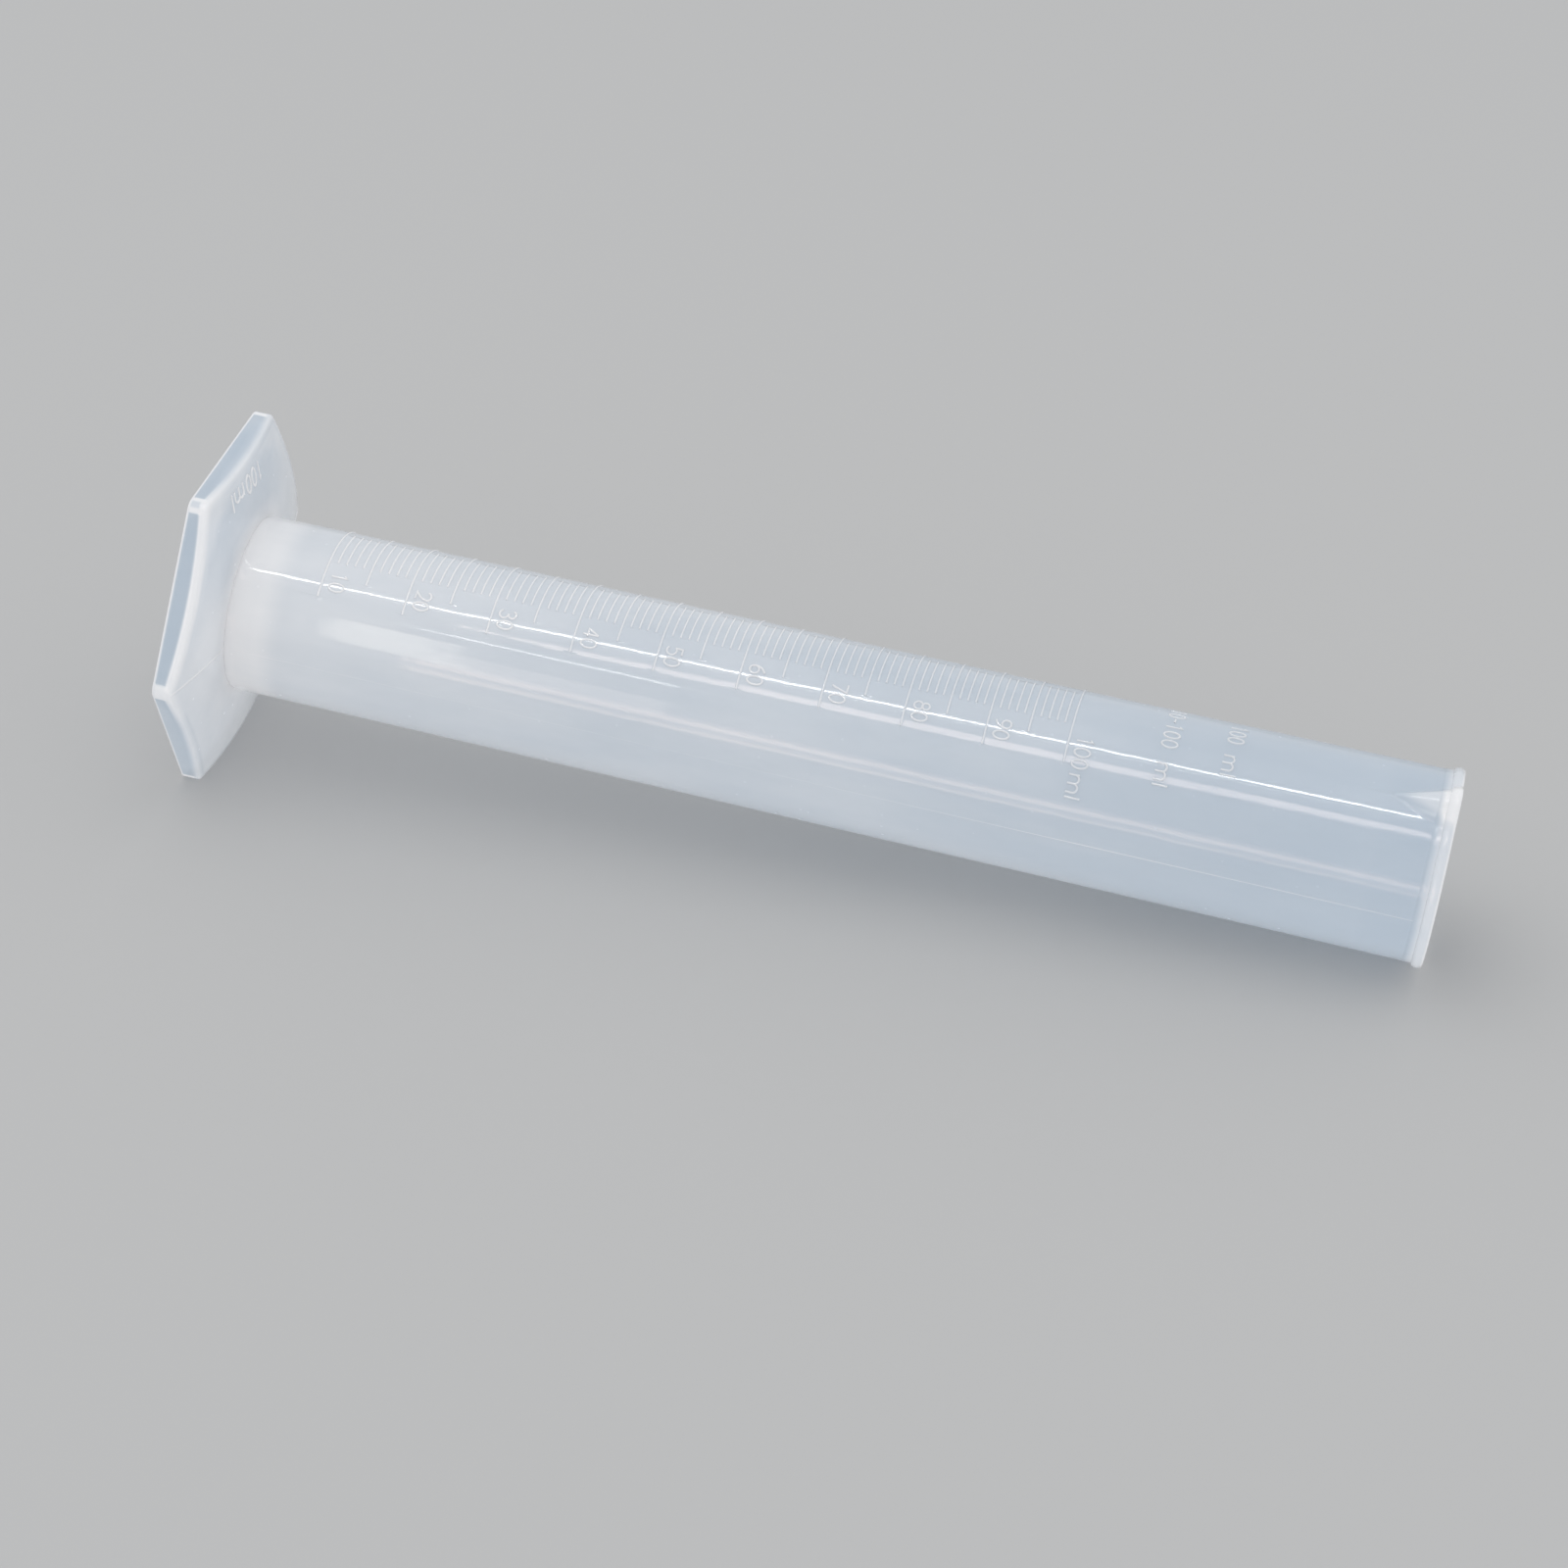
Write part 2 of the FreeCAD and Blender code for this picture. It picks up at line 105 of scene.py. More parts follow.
# how much whiter than a plain wall each of these is: 1 is solid plastic, below 0 is darker
LOW_WALL_WHITENESS = 0.55
MOUTH_WALL_WHITENESS = -0.35
DOME_WHITENESS = 0.6
DOME_THIN_WHITENESS = 0.2
# painted shade: the foot's side faces are painted darker, and less so at 30 degrees and near the
# -120 corner
PAINTED_PANEL_SHADE = -0.5
LESS_PAINTED_PANEL_SHADE = -0.2
PLUG_WHITENESS = 0.88
BEAD_WHITENESS = 0.5
# painted light: the spout's swelling is painted whiter
SPOUT_PAINTED_LIGHT = 0.75
RING_WHITENESS = 0.5
MARK_WHITENESS = 0.6
TEXT_WHITENESS = 0.75
SEAM_WHITENESS = 0.6
FOOT_SEAM_WHITENESS = 1.3
FOOT_TEXT_WHITENESS = 1.1

# how far below and above its top the plug's whiteness fades, and the same at other edges
PLUG_FADE_BELOW = 4.4
PLUG_FADE_ABOVE = 1.0
BEVEL_FADE = 0.3
LIP_FADE_FROM = 0.5
LIP_FADE_TO = 0.1
SPOUT_FADE = 1.5
RING_HALF_HEIGHT = 0.3

# where the dome is thinner, as an angle and as radii
THIN_ANGLE = -80
THIN_FROM = 17.0
THIN_TO = 28.5

# two plain rows of text above the scale
RANGE_TEXT_ANGLE = -110.0
RANGE_TEXT_LEVEL = 168.1
CAPACITY_TEXT_ANGLE = -103.0
CAPACITY_TEXT_LEVEL = 178.7

# how far the roots of raised signs are sunk into the surface below them
ROOT_DEPTH = 0.04

FOOT_TEXT_START = -4.1
FOOT_TEXT_PITCH = 2.6
FOOT_TEXT_BASE = -26.3
FOOT_TEXT_SCALE = 1.2

DIGIT_HEIGHT = 2.7
DIGIT_WIDTH = 1.5
DIGIT_PITCH = 7.25
DIGIT_START = -62.5
DIGIT_GAP = 1.35

# how closely the meshes are divided
COLUMN_STEP = 4
SPOUT_COLUMN_STEP = 0.9
SPOUT_COLUMNS_EACH_SIDE = 24
LEAST_COLUMN_GAP = 0.2
ROUNDING_STEPS = 6
BEAD_STEPS = 12
PLUG_EDGE_ROWS = 11
PLUG_EDGE_STEP = 0.62
PLAIN_ROW_STEP = 6
SPOUT_ROW_STEP = 0.5
INNER_PLAIN_ROW_STEP = 12
INNER_SPOUT_ROW_STEP = 0.8
RING_STEPS = 20
SHARP_ANGLE = 50

# the vertex attribute of whiteness: mostly thickness, with painted light and painted shade in
# places
THICKNESS_AND_PAINTED_LIGHT = "thickness"


def mix(low, high, share):
    """The value at a share of the way from low to high."""
    return low + (high - low) * share


def turn_between(angle, other):
    """The angle between two directions, from 0 to 180."""
    return abs((angle - other + 180) % 360 - 180)


def ease(value, start, end):
    """0 up to the start, 1 from the end on, and a soft step between them."""
    share = min(max((value - start) / (end - start), 0.0), 1.0)
    return share * share * (3 - 2 * share)


def outer_radius(level):
    """Outside radius of the tube's tapered wall."""
    low = SEAT + BEVEL_HEIGHT
    share = (level - low) / (MOUTH - NECK_HEIGHT - low)
    return mix(TUBE_RADIUS_LOW, TUBE_RADIUS_MOUTH, min(max(share, 0.0), 1.0))


def volume_below(level):
    """Water held below a level of the tube, in ml."""
    plug_radius = TUBE_RADIUS_LOW - TUBE_WALL - PLUG_WALL
    in_plug = math.pi * plug_radius ** 2 * (PLUG_TOP - FLOOR_LEVEL)
    low = outer_radius(PLUG_TOP) - TUBE_WALL
    high = outer_radius(level) - TUBE_WALL
    in_tube = math.pi * (level - PLUG_TOP) * (low ** 2 + low * high + high ** 2) / 3
    return (in_plug + in_tube) / 1000


def mark_level(millilitres):
    """The level that a volume reaches."""
    low = PLUG_TOP
    high = MOUTH
    for _ in range(40):
        middle = (low + high) / 2
        if volume_below(middle) < millilitres:
            low = middle
        else:
            high = middle
    return low


# ---------------------------------------------------------------- mesh helpers

def turned(radius, angle, level):
    """A point in metres, from a radius, an angle in degrees from +X and a level."""
    radians = math.radians(angle)
    return (radius * math.cos(radians) * MM, radius * math.sin(radians) * MM, level * MM)


def ring_faces(rows, columns):
    """Faces of a closed strip of rings, one after another."""
    faces = []
    for row in range(rows - 1):
        for column in range(columns):
            after = (column + 1) % columns
            faces.append((row * columns + column, row * columns + after,
                          (row + 1) * columns + after, (row + 1) * columns + column))
    return faces


def add_object(name, vertices, whiteness_and_painted_light, faces):
    """A mesh object whose vertices carry how white the plastic is there, from 0 in a plain wall
    to 1 where it is solid, and below 0 where it is darker. Thick plastic is whiter and shows
    less of what is behind it. The spout's extra whiteness is painted light, and the darker
    side faces of the foot are painted shade."""
    mesh = bpy.data.meshes.new(name)
    mesh.from_pydata(vertices, [], faces)
    thick = mesh.attributes.new(THICKNESS_AND_PAINTED_LIGHT, "FLOAT", "POINT")
    thick.data.foreach_set("value", whiteness_and_painted_light)
    mesh.validate()
    mesh.polygons.foreach_set("use_smooth", [True] * len(mesh.polygons))
    mesh.set_sharp_from_angle(angle=math.radians(SHARP_ANGLE))
    mesh.update()
    made = bpy.data.objects.new(name, mesh)
    bpy.context.scene.collection.objects.link(made)
    return made


# ---------------------------------------------------------------- tube

def spout_bulge(angle, level):
    """How far the spout swells out of the round wall: a soft swelling, widest at the mouth."""
    share = (level - (MOUTH - SPOUT_HEIGHT)) / SPOUT_HEIGHT
    off_middle = turn_between(angle, SPOUT_ANGLE)
    if share <= 0 or off_middle >= SPOUT_HALF_ANGLE * share:
        return 0.0
    across = off_middle / (SPOUT_HALF_ANGLE * share)
    return SPOUT_REACH * share * (1 + math.cos(math.pi * across)) / 2


def wall_radius(angle, level, inside):
    """Radius of the tube's wall at an angle and level, spout included."""
    radius = outer_radius(level) + spout_bulge(angle, level)
    if inside:
        return radius - TUBE_WALL
    return radius + (NECK_STEP if level > MOUTH - NECK_HEIGHT else 0.0)


def wall_whiteness(level):
    """How white the tube's plain wall is: whiter towards the foot, darker towards the mouth, and
    with a faint ring at the level where the spout starts."""
    share = level / MOUTH
    on_ring = abs(level - (MOUTH - SPOUT_HEIGHT)) < RING_HALF_HEIGHT
    return (LOW_WALL_WHITENESS * (1 - share) ** 1.5 + MOUTH_WALL_WHITENESS * share ** 4
            + (RING_WHITENESS if on_ring else 0.0))


def rim_whiteness(level):
    """How white the tube is at a level, with its thicker rim."""
    return mix(wall_whiteness(level), BEAD_WHITENESS,
               ease(level, MOUTH - NECK_HEIGHT, MOUTH - BEAD_HEIGHT))


def outside_whiteness(level):
    """How white the outside is, with the plug seen in its lower end, its bevel and its lip."""
    white = rim_whiteness(level)
    bevel_top = SEAT + BEVEL_HEIGHT
    white = mix(PLUG_WHITENESS, white,
                ease(level, PLUG_TOP - PLUG_FADE_BELOW, PLUG_TOP + PLUG_FADE_ABOVE))
    white = mix(1.0, white, ease(level, bevel_top - BEVEL_FADE, bevel_top + BEVEL_FADE))
    return mix(white, 1.0, ease(level, MOUTH - LIP_FADE_FROM, MOUTH - LIP_FADE_TO))


def seam_height(angle, level):
    """The fine ridge that the two halves of the mould leave down each side, finest low down."""
    if level < SEAT + BEVEL_HEIGHT or level > MOUTH - NECK_HEIGHT:
        return 0.0
    proud = SEAM_PROUD * mix(SEAM_LOW_SHARE, 1.0, ease(level, SEAM_GROWS_FROM, SEAM_GROWS_TO))
    for seam in SEAM_ANGLES:
        away = turn_between(angle, seam)
        if away < SEAM_HALF_WIDTH:
            return proud * (1 - away / SEAM_HALF_WIDTH)
    return 0.0


def half_angle_of(millilitres):
    """How far round a scale line reaches to each side of the scale's middle."""
    if millilitres % 10 == 0:
        return MAJOR_HALF_ANGLE
    if millilitres % 5 == 0:
        return MEDIUM_HALF_ANGLE
    return MINOR_HALF_ANGLE


def tube_columns():
    """Angles of the tube's upright lines of vertices, closer at the spout, seams and mark ends."""
    angles = {float(angle) for angle in range(-180, 180, COLUMN_STEP)}
    for step in range(-SPOUT_COLUMNS_EACH_SIDE, SPOUT_COLUMNS_EACH_SIDE + 1):
        angles.add(SPOUT_ANGLE + step * SPOUT_COLUMN_STEP)
    for seam in SEAM_ANGLES:
        for offset in (-SEAM_HALF_WIDTH, 0.0, SEAM_HALF_WIDTH):
            angles.add((seam + offset + 180) % 360 - 180)
    for half in (MINOR_HALF_ANGLE, MEDIUM_HALF_ANGLE, MAJOR_HALF_ANGLE):
        for side in (-1, 1):
            for inset in (0.0, MARK_END_ANGLE):
                angles.add(SCALE_ANGLE + side * (half - inset))
    kept = []
    for angle in sorted(angles):
        if not kept or angle - kept[-1] > LEAST_COLUMN_GAP:
            kept.append(angle)
    return kept


def outer_rows():
    """(level, extra radius, millilitres of the raised line there or None) up the outside. The
    extra radius of a raised line is only for the part of the round that the line covers."""
    rows = []
    for step in range(ROUNDING_STEPS + 1):
        angle = math.radians(90 * step / ROUNDING_STEPS)
        rows.append((SEAT + BEVEL_HEIGHT * (1 - math.cos(angle)),
                     -BEVEL_DEPTH * (1 - math.sin(angle)), None))
    for step in range(PLUG_EDGE_ROWS):
        rows.append((PLUG_TOP - 5.0 + PLUG_EDGE_STEP * step, 0.0, None))
    half = MARK_WIDTH / 2
    for millilitres in range(SCALE_START, SCALE_END + 1):
        level = mark_level(millilitres)
        for across, height in MARK_PROFILE:
            rows.append((level + across * half, height * MARK_PROUD, millilitres))
    spout_foot = MOUTH - SPOUT_HEIGHT
    level = mark_level(SCALE_END) + PLAIN_ROW_STEP
    while level < spout_foot - 2:
        rows.append((level, 0.0, None))
        level += PLAIN_ROW_STEP
    while level < MOUTH - NECK_HEIGHT - 0.2:
        rows.append((level, 0.0, None))
        level += SPOUT_ROW_STEP
    rows.append((MOUTH - NECK_HEIGHT - 0.06, 0.0, None))
    rows.append((MOUTH - NECK_HEIGHT + 0.01, 0.0, None))
    rows.append((MOUTH - BEAD_HEIGHT - 0.5, 0.0, None))
    for step in range(BEAD_STEPS + 1):
        angle = math.radians(180 * step / BEAD_STEPS - 90)
        inset = LIP_INSET if step == BEAD_STEPS else 0.0
        rows.append((MOUTH - BEAD_HEIGHT / 2 * (1 - math.sin(angle)),
                     BEAD_PROUD * math.cos(angle) - inset, None))
    return rows


def inner_rows():
    """(level, extra radius) down the inside, from the rounded lip to the tube's lower end."""
    rows = [(MOUTH, 0.35), (MOUTH - 0.1, 0.1), (MOUTH - 0.35, 0.0)]
    level = MOUTH - 1
    while level > MOUTH - SPOUT_HEIGHT:
        rows.append((level, 0.0))
        level -= INNER_SPOUT_ROW_STEP
    while level > PLUG_TOP + 4:
        rows.append((level, 0.0))
        level -= INNER_PLAIN_ROW_STEP
    rows += [(PLUG_TOP, 0.0), (SEAT + 0.3, 0.0), (SEAT, 0.1)]
    return rows


def tube_mesh():
    """The tube's vertices, thicknesses and faces: outside, lip and inside as one closed skin."""
    columns = tube_columns()
    vertices, whiteness_and_painted_light = [], []
    outside = outer_rows()
    for level, extra, millilitres in outside:
        reach = half_angle_of(millilitres) - MARK_END_ANGLE / 2 if millilitres else 0.0
        solid = outside_whiteness(level)
        for angle in columns:
            ridge = seam_height(angle, level)
            radius = wall_radius(angle, level, False)
            # painted light on the spout's swelling
            spout = SPOUT_PAINTED_LIGHT * ease(spout_bulge(angle, level), 0.0, SPOUT_FADE)
            raise_by = extra
            marked = 0.0
            if millilitres:
                raise_by = extra if abs(angle - SCALE_ANGLE) < reach else 0.0
                marked = MARK_WHITENESS * raise_by / MARK_PROUD
            vertices.append(turned(radius + raise_by + ridge, angle, level))
            whiteness_and_painted_light.append(solid + spout + marked + SEAM_WHITENESS * ridge / SEAM_PROUD)
    inside = inner_rows()
    for level, extra in inside:
        solid = rim_whiteness(level)
        for angle in columns:
            vertices.append(turned(wall_radius(angle, level, True) + extra, angle, level))
            whiteness_and_painted_light.append(solid)
    rows = len(outside) + len(inside)
    count = len(columns)
    faces = ring_faces(rows, count)
    last = (rows - 1) * count
    for column in range(count):
        after = (column + 1) % count
        faces.append((last + column, last + after, after, column))
    return vertices, whiteness_and_painted_light, faces


# ---------------------------------------------------------------- raised numerals

def arc_through(start, middle, end, steps=8):
    """Points along the circle through three points, from the first to the last."""
    (ax, ay), (bx, by), (cx, cy) = start, middle, end
    twice = 2 * (ax * (by - cy) + bx * (cy - ay) + cx * (ay - by))
    a2, b2, c2 = ax * ax + ay * ay, bx * bx + by * by, cx * cx + cy * cy
    centre_x = (a2 * (by - cy) + b2 * (cy - ay) + c2 * (ay - by)) / twice
    centre_y = (a2 * (cx - bx) + b2 * (ax - cx) + c2 * (bx - ax)) / twice
    radius = math.hypot(ax - centre_x, ay - centre_y)
    first = math.atan2(ay - centre_y, ax - centre_x)
    passing = (math.atan2(by - centre_y, bx - centre_x) - first) % (2 * math.pi)
    sweep = (math.atan2(cy - centre_y, cx - centre_x) - first) % (2 * math.pi)
    if passing > sweep:
        sweep -= 2 * math.pi
    points = []
    for step in range(1, steps + 1):
        angle = first + sweep * step / steps
        points.append((centre_x + radius * math.cos(angle), centre_y + radius * math.sin(angle)))
    return points


def glyph_strokes(sign):
    """The strokes of a numeral or unit letter in a cell 1 wide and 1 high. A pair of numbers is
    a point, four are an arc through one point to another, and a ring has its own entry."""
    return {
        "0": [{"ring": (0.5, 0.5, 0.5, 0.5)}],
        "1": [[(0.25, 0.85), (0.5, 1.0), (0.5, 0.0)]],
        "2": [[(0.0, 0.76), (0.5, 1.0, 1.0, 0.76), (0.84, 0.46, 0.0, 0.0), (1.0, 0.0)]],
        "3": [[(0.0, 0.86), (0.9, 0.8, 0.4, 0.54)], [(0.4, 0.54), (1.0, 0.27, 0.0, 0.12)]],
        "4": [[(0.72, 1.0), (0.0, 0.3), (1.0, 0.3)], [(0.72, 1.0), (0.72, 0.0)]],
        "5": [[(0.92, 1.0), (0.12, 1.0), (0.06, 0.57), (1.0, 0.33, 0.0, 0.07)]],
        "6": [{"ring": (0.5, 0.3, 0.5, 0.3)}, [(0.85, 1.0), (0.2, 0.72, 0.0, 0.3)]],
        "7": [[(0.0, 1.0), (1.0, 1.0), (0.35, 0.0)]],
        "8": [{"ring": (0.5, 0.76, 0.42, 0.24)}, {"ring": (0.5, 0.28, 0.5, 0.28)}],
        "9": [{"ring": (0.5, 0.7, 0.5, 0.3)}, [(0.15, 0.0), (0.8, 0.28, 1.0, 0.7)]],
        "m": [[(0.4, 0.0), (0.4, 0.7)],
              [(0.4, 0.5), (0.9, 0.7, 1.4, 0.5), (1.4, 0.0)],
              [(1.4, 0.5), (1.9, 0.7, 2.4, 0.5), (2.4, 0.0)]],
        "l": [[(1.6, 0.0), (1.6, 1.0)]],
        "-": [[(0.1, 0.45), (0.9, 0.45)]],
        " ": [],
    }[sign]


def stroke_points(stroke):
    """(points in millimetres, True if the stroke closes on itself)."""
    if isinstance(stroke, dict):
        centre_x, centre_y, half_width, half_height = stroke["ring"]
        points = []
        for step in range(RING_STEPS):
            angle = 2 * math.pi * step / RING_STEPS
            points.append(((centre_x - 0.5 + half_width * math.cos(angle)) * DIGIT_WIDTH,
                           (centre_y + half_height * math.sin(angle)) * DIGIT_HEIGHT))
        return points, True
    sized = [[value * (DIGIT_HEIGHT if index % 2 else DIGIT_WIDTH)
              - (0 if index % 2 else DIGIT_WIDTH / 2) for index, value in enumerate(point)]
             for point in stroke]
    points = [tuple(sized[0])]
    for point in sized[1:]:
        if len(point) == 4:
            points += arc_through(points[-1], tuple(point[:2]), tuple(point[2:]))
        else:
            points.append(tuple(point))
    return points, False


def stroke_ribbon(points, closed):
    """A raised ribbon along the points: (x, y, height share) vertices, and the faces of a
    closed form. Its section is a low hump, from one root over the crest to the other root."""
    count = len(points)
    vertices = []
    for index, (x, y) in enumerate(points):
        before = points[(index - 1) % count] if closed or index else points[0]
        after = points[(index + 1) % count] if closed or index < count - 1 else points[-1]
        back = Vector((x - before[0], y - before[1]))
        ahead = Vector((after[0] - x, after[1] - y))
        back = back.normalized() if back.length else ahead.normalized()
        ahead = ahead.normalized() if ahead.length else back
        along = (back + ahead).normalized()
        side = Vector((-along.y, along.x))
        stretch = min(1 / max(side.dot(Vector((-ahead.y, ahead.x))), 0.3), 2.0)
        for across, height in STROKE_PROFILE:
            shift = side * (across * MARK_WIDTH * stretch)
            vertices.append((x + shift.x, y + shift.y, height))
    wide = len(STROKE_PROFILE)
    faces = []
    for index in range(count if closed else count - 1):
        after = (index + 1) % count
        for step in range(wide):
            beside = (step + 1) % wide
            faces.append((index * wide + step, after * wide + step,
                          after * wide + beside, index * wide + beside))
    if not closed:
        faces.append(tuple(range(wide)))
        faces.append(tuple((count - 1) * wide + step for step in reversed(range(wide))))
    return vertices, faces


def add_sign(sign, place, whiteness, vertices, whiteness_and_painted_light, faces):
    """Adds one raised sign to a mesh. place turns a point of the flat sign and its height, from
    0 at its root to 1 on its crest, into a point on the part."""
    for stroke in glyph_strokes(sign):
        points, closed = stroke_points(stroke)
        ribbon, ribbon_faces = stroke_ribbon(points, closed)
        first = len(vertices)
        for x, y, height in ribbon:
            vertices.append(place(x, y, height))
            whiteness_and_painted_light.append(whiteness * ease(height, -0.5, 0.8))
        faces += [tuple(first + index for index in face) for face in ribbon_faces]


def raised(height):
    """How far a point of a raised sign stands out of the surface, its root sunk into it."""
    return MARK_PROUD * height - ROOT_DEPTH * (1 - height)


def text_on_tube(text, first_angle, level, mesh_lists, whiteness=MARK_WHITENESS):
    """Adds a row of raised signs round the tube, whiter than its wall there by a whiteness."""
    for index, sign in enumerate(text):
        angle = first_angle + index * DIGIT_PITCH

        def place(x, y, height):
            radius = outer_radius(level + y)
            return turned(radius + raised(height), angle + math.degrees(x / radius), level + y)

        add_sign(sign, place, wall_whiteness(level) + whiteness, *mesh_lists)


def numeral_mesh():
    """The numerals over the 10 ml lines, and two plain lines of range and capacity above."""
    mesh_lists = [], [], []
    for millilitres in range(SCALE_START, SCALE_END + 1, 10):
        text = str(millilitres) + ("ml" if millilitres == SCALE_END else "")
        text_on_tube(text, DIGIT_START, mark_level(millilitres) + DIGIT_GAP, mesh_lists)
    text_on_tube("10-100 ml", RANGE_TEXT_ANGLE, RANGE_TEXT_LEVEL, mesh_lists,
                 TEXT_WHITENESS)
    text_on_tube("100 ml", CAPACITY_TEXT_ANGLE, CAPACITY_TEXT_LEVEL, mesh_lists,
                 TEXT_WHITENESS)
    return mesh_lists


def foot_text_mesh():
    """The capacity, raised on the foot's top beside its -Y side and read from outside it."""
    mesh_lists = [], [], []
    for index, sign in enumerate("100ml"):
        middle = FOOT_TEXT_START + index * FOOT_TEXT_PITCH

        def place(x, y, height):
            across = middle + x * FOOT_TEXT_SCALE
            outward = FOOT_TEXT_BASE + y * FOOT_TEXT_SCALE
            level = dome_level(math.hypot(across, outward)) + raised(height)
            return (across * MM, outward * MM, level * MM)

        add_sign(sign, place, FOOT_TEXT_WHITENESS, *mesh_lists)
    return mesh_lists


def joined(*meshes):
    """One list of vertices, thicknesses and faces from several."""
    vertices, whiteness_and_painted_light, faces = [], [], []
    for more_vertices, more_whiteness_and_painted_light, more_faces in meshes:
        first = len(vertices)
        vertices += more_vertices
        whiteness_and_painted_light += more_whiteness_and_painted_light
        faces += [tuple(first + index for index in face) for face in more_faces]
    return vertices, whiteness_and_painted_light, faces


# ---------------------------------------------------------------- foot

def hexagon_radius(angle, inset):
    """Radius of the foot's rounded hexagon, drawn in by an inset, with a corner on +X."""
    apothem = FOOT_REACH - inset
    rounding = max(FOOT_CORNER_RADIUS - inset, LEAST_CORNER_RADIUS)
    from_flat = abs(angle % 60 - 30)
    straight_end = math.degrees(math.atan(math.tan(math.radians(30)) * (1 - rounding / apothem)))
    if from_flat <= straight_end:
        return apothem / math.cos(math.radians(from_flat))
    centre = (apothem - rounding) / math.cos(math.radians(30))
    off_corner = math.radians(30 - from_flat)
    across = centre * math.sin(off_corner)
    return centre * math.cos(off_corner) + math.sqrt(max(rounding ** 2 - across ** 2, 0))


def dome_level(radius, lowered=0.0):
    """Level of the foot's domed top at a radius, or of the same dome lowered."""
    ball = DOME_RADIUS - lowered
    return DOME_PEAK - DOME_RADIUS + math.sqrt(ball ** 2 - radius ** 2)


def foot_columns():
    """Angles of the foot's lines of vertices, closer round its corners."""
    angles = set()
    for corner in range(0, 360, 60):
        for offset in range(-28, 31, 2):
            angles.add(round((corner + offset) % 360, 3))
        for offset in (0.5, 1.0, 1.5, 2.5, 3.0, 3.5, 4.5):
            angles.add(round((corner + offset) % 360, 3))
            angles.add(round((corner - offset) % 360, 3))
    return sorted(angles)


def corner_share(angle):
    """Whiteness round the foot's corners: bright where each rounding starts and less between,
    or bright all through at the two corners that the mould's seam runs to."""
    from_flat = abs(angle % 60 - 30)
    half_side = FOOT_REACH * math.tan(math.radians(30))
    to_corner = half_side - FOOT_REACH * math.tan(math.radians(from_flat))
    seamed = min(turn_between(angle, seam) for seam in SEAM_ANGLES) < 30
    middle = 0.95 if seamed else 1 - 0.5 * (1 - ease(to_corner, 0.5, 0.9))
    return middle * (1 - ease(to_corner, 1.5, 2.0))


def panel_whiteness(angle):
    """Painted shade on the foot's side faces: they are painted darker, but less so at 30 degrees
    and near the -120 corner.
    """
    share = max(ease(math.cos(math.radians(angle - 30)), 0.86, 0.95),
                ease(math.cos(math.radians(angle + 120)), 0.94, 1.0))
    return mix(PAINTED_PANEL_SHADE, LESS_PAINTED_PANEL_SHADE, share)


def plate_whiteness(angle, low, high):
    """The edge of the foot's top plate takes the high value on its +X -Y side and the low one on
    the others.
    """
    return mix(low, high, ease(math.cos(math.radians(angle + 30)), 0.6, 0.95))


def dome_whiteness(radius, angle):
    """The dome is thinnest half way out on its -Y side, where the lettering is."""
    thin = (ease(math.cos(math.radians(angle - THIN_ANGLE)), 0.4, 0.9)
            * ease(radius, THIN_FROM, THIN_FROM + 3) * (1 - ease(radius, THIN_TO - 2.5, THIN_TO)))
    return mix(DOME_WHITENESS, DOME_THIN_WHITENESS, thin)


def on_seam(angle):
    """True for the foot's two lines of vertices under the parting line's ridge."""
    return min(turn_between(angle, seam) for seam in SEAM_ANGLES) < 0.2


def foot_top_level(radius, angle):
    """Level of the foot's top, with the fine ridge of the mould's parting line on it."""
    ridge = FOOT_SEAM_PROUD if on_seam(angle) and radius > TUBE_RADIUS_LOW else 0.0
    return min(dome_level(radius), SEAT) + ridge


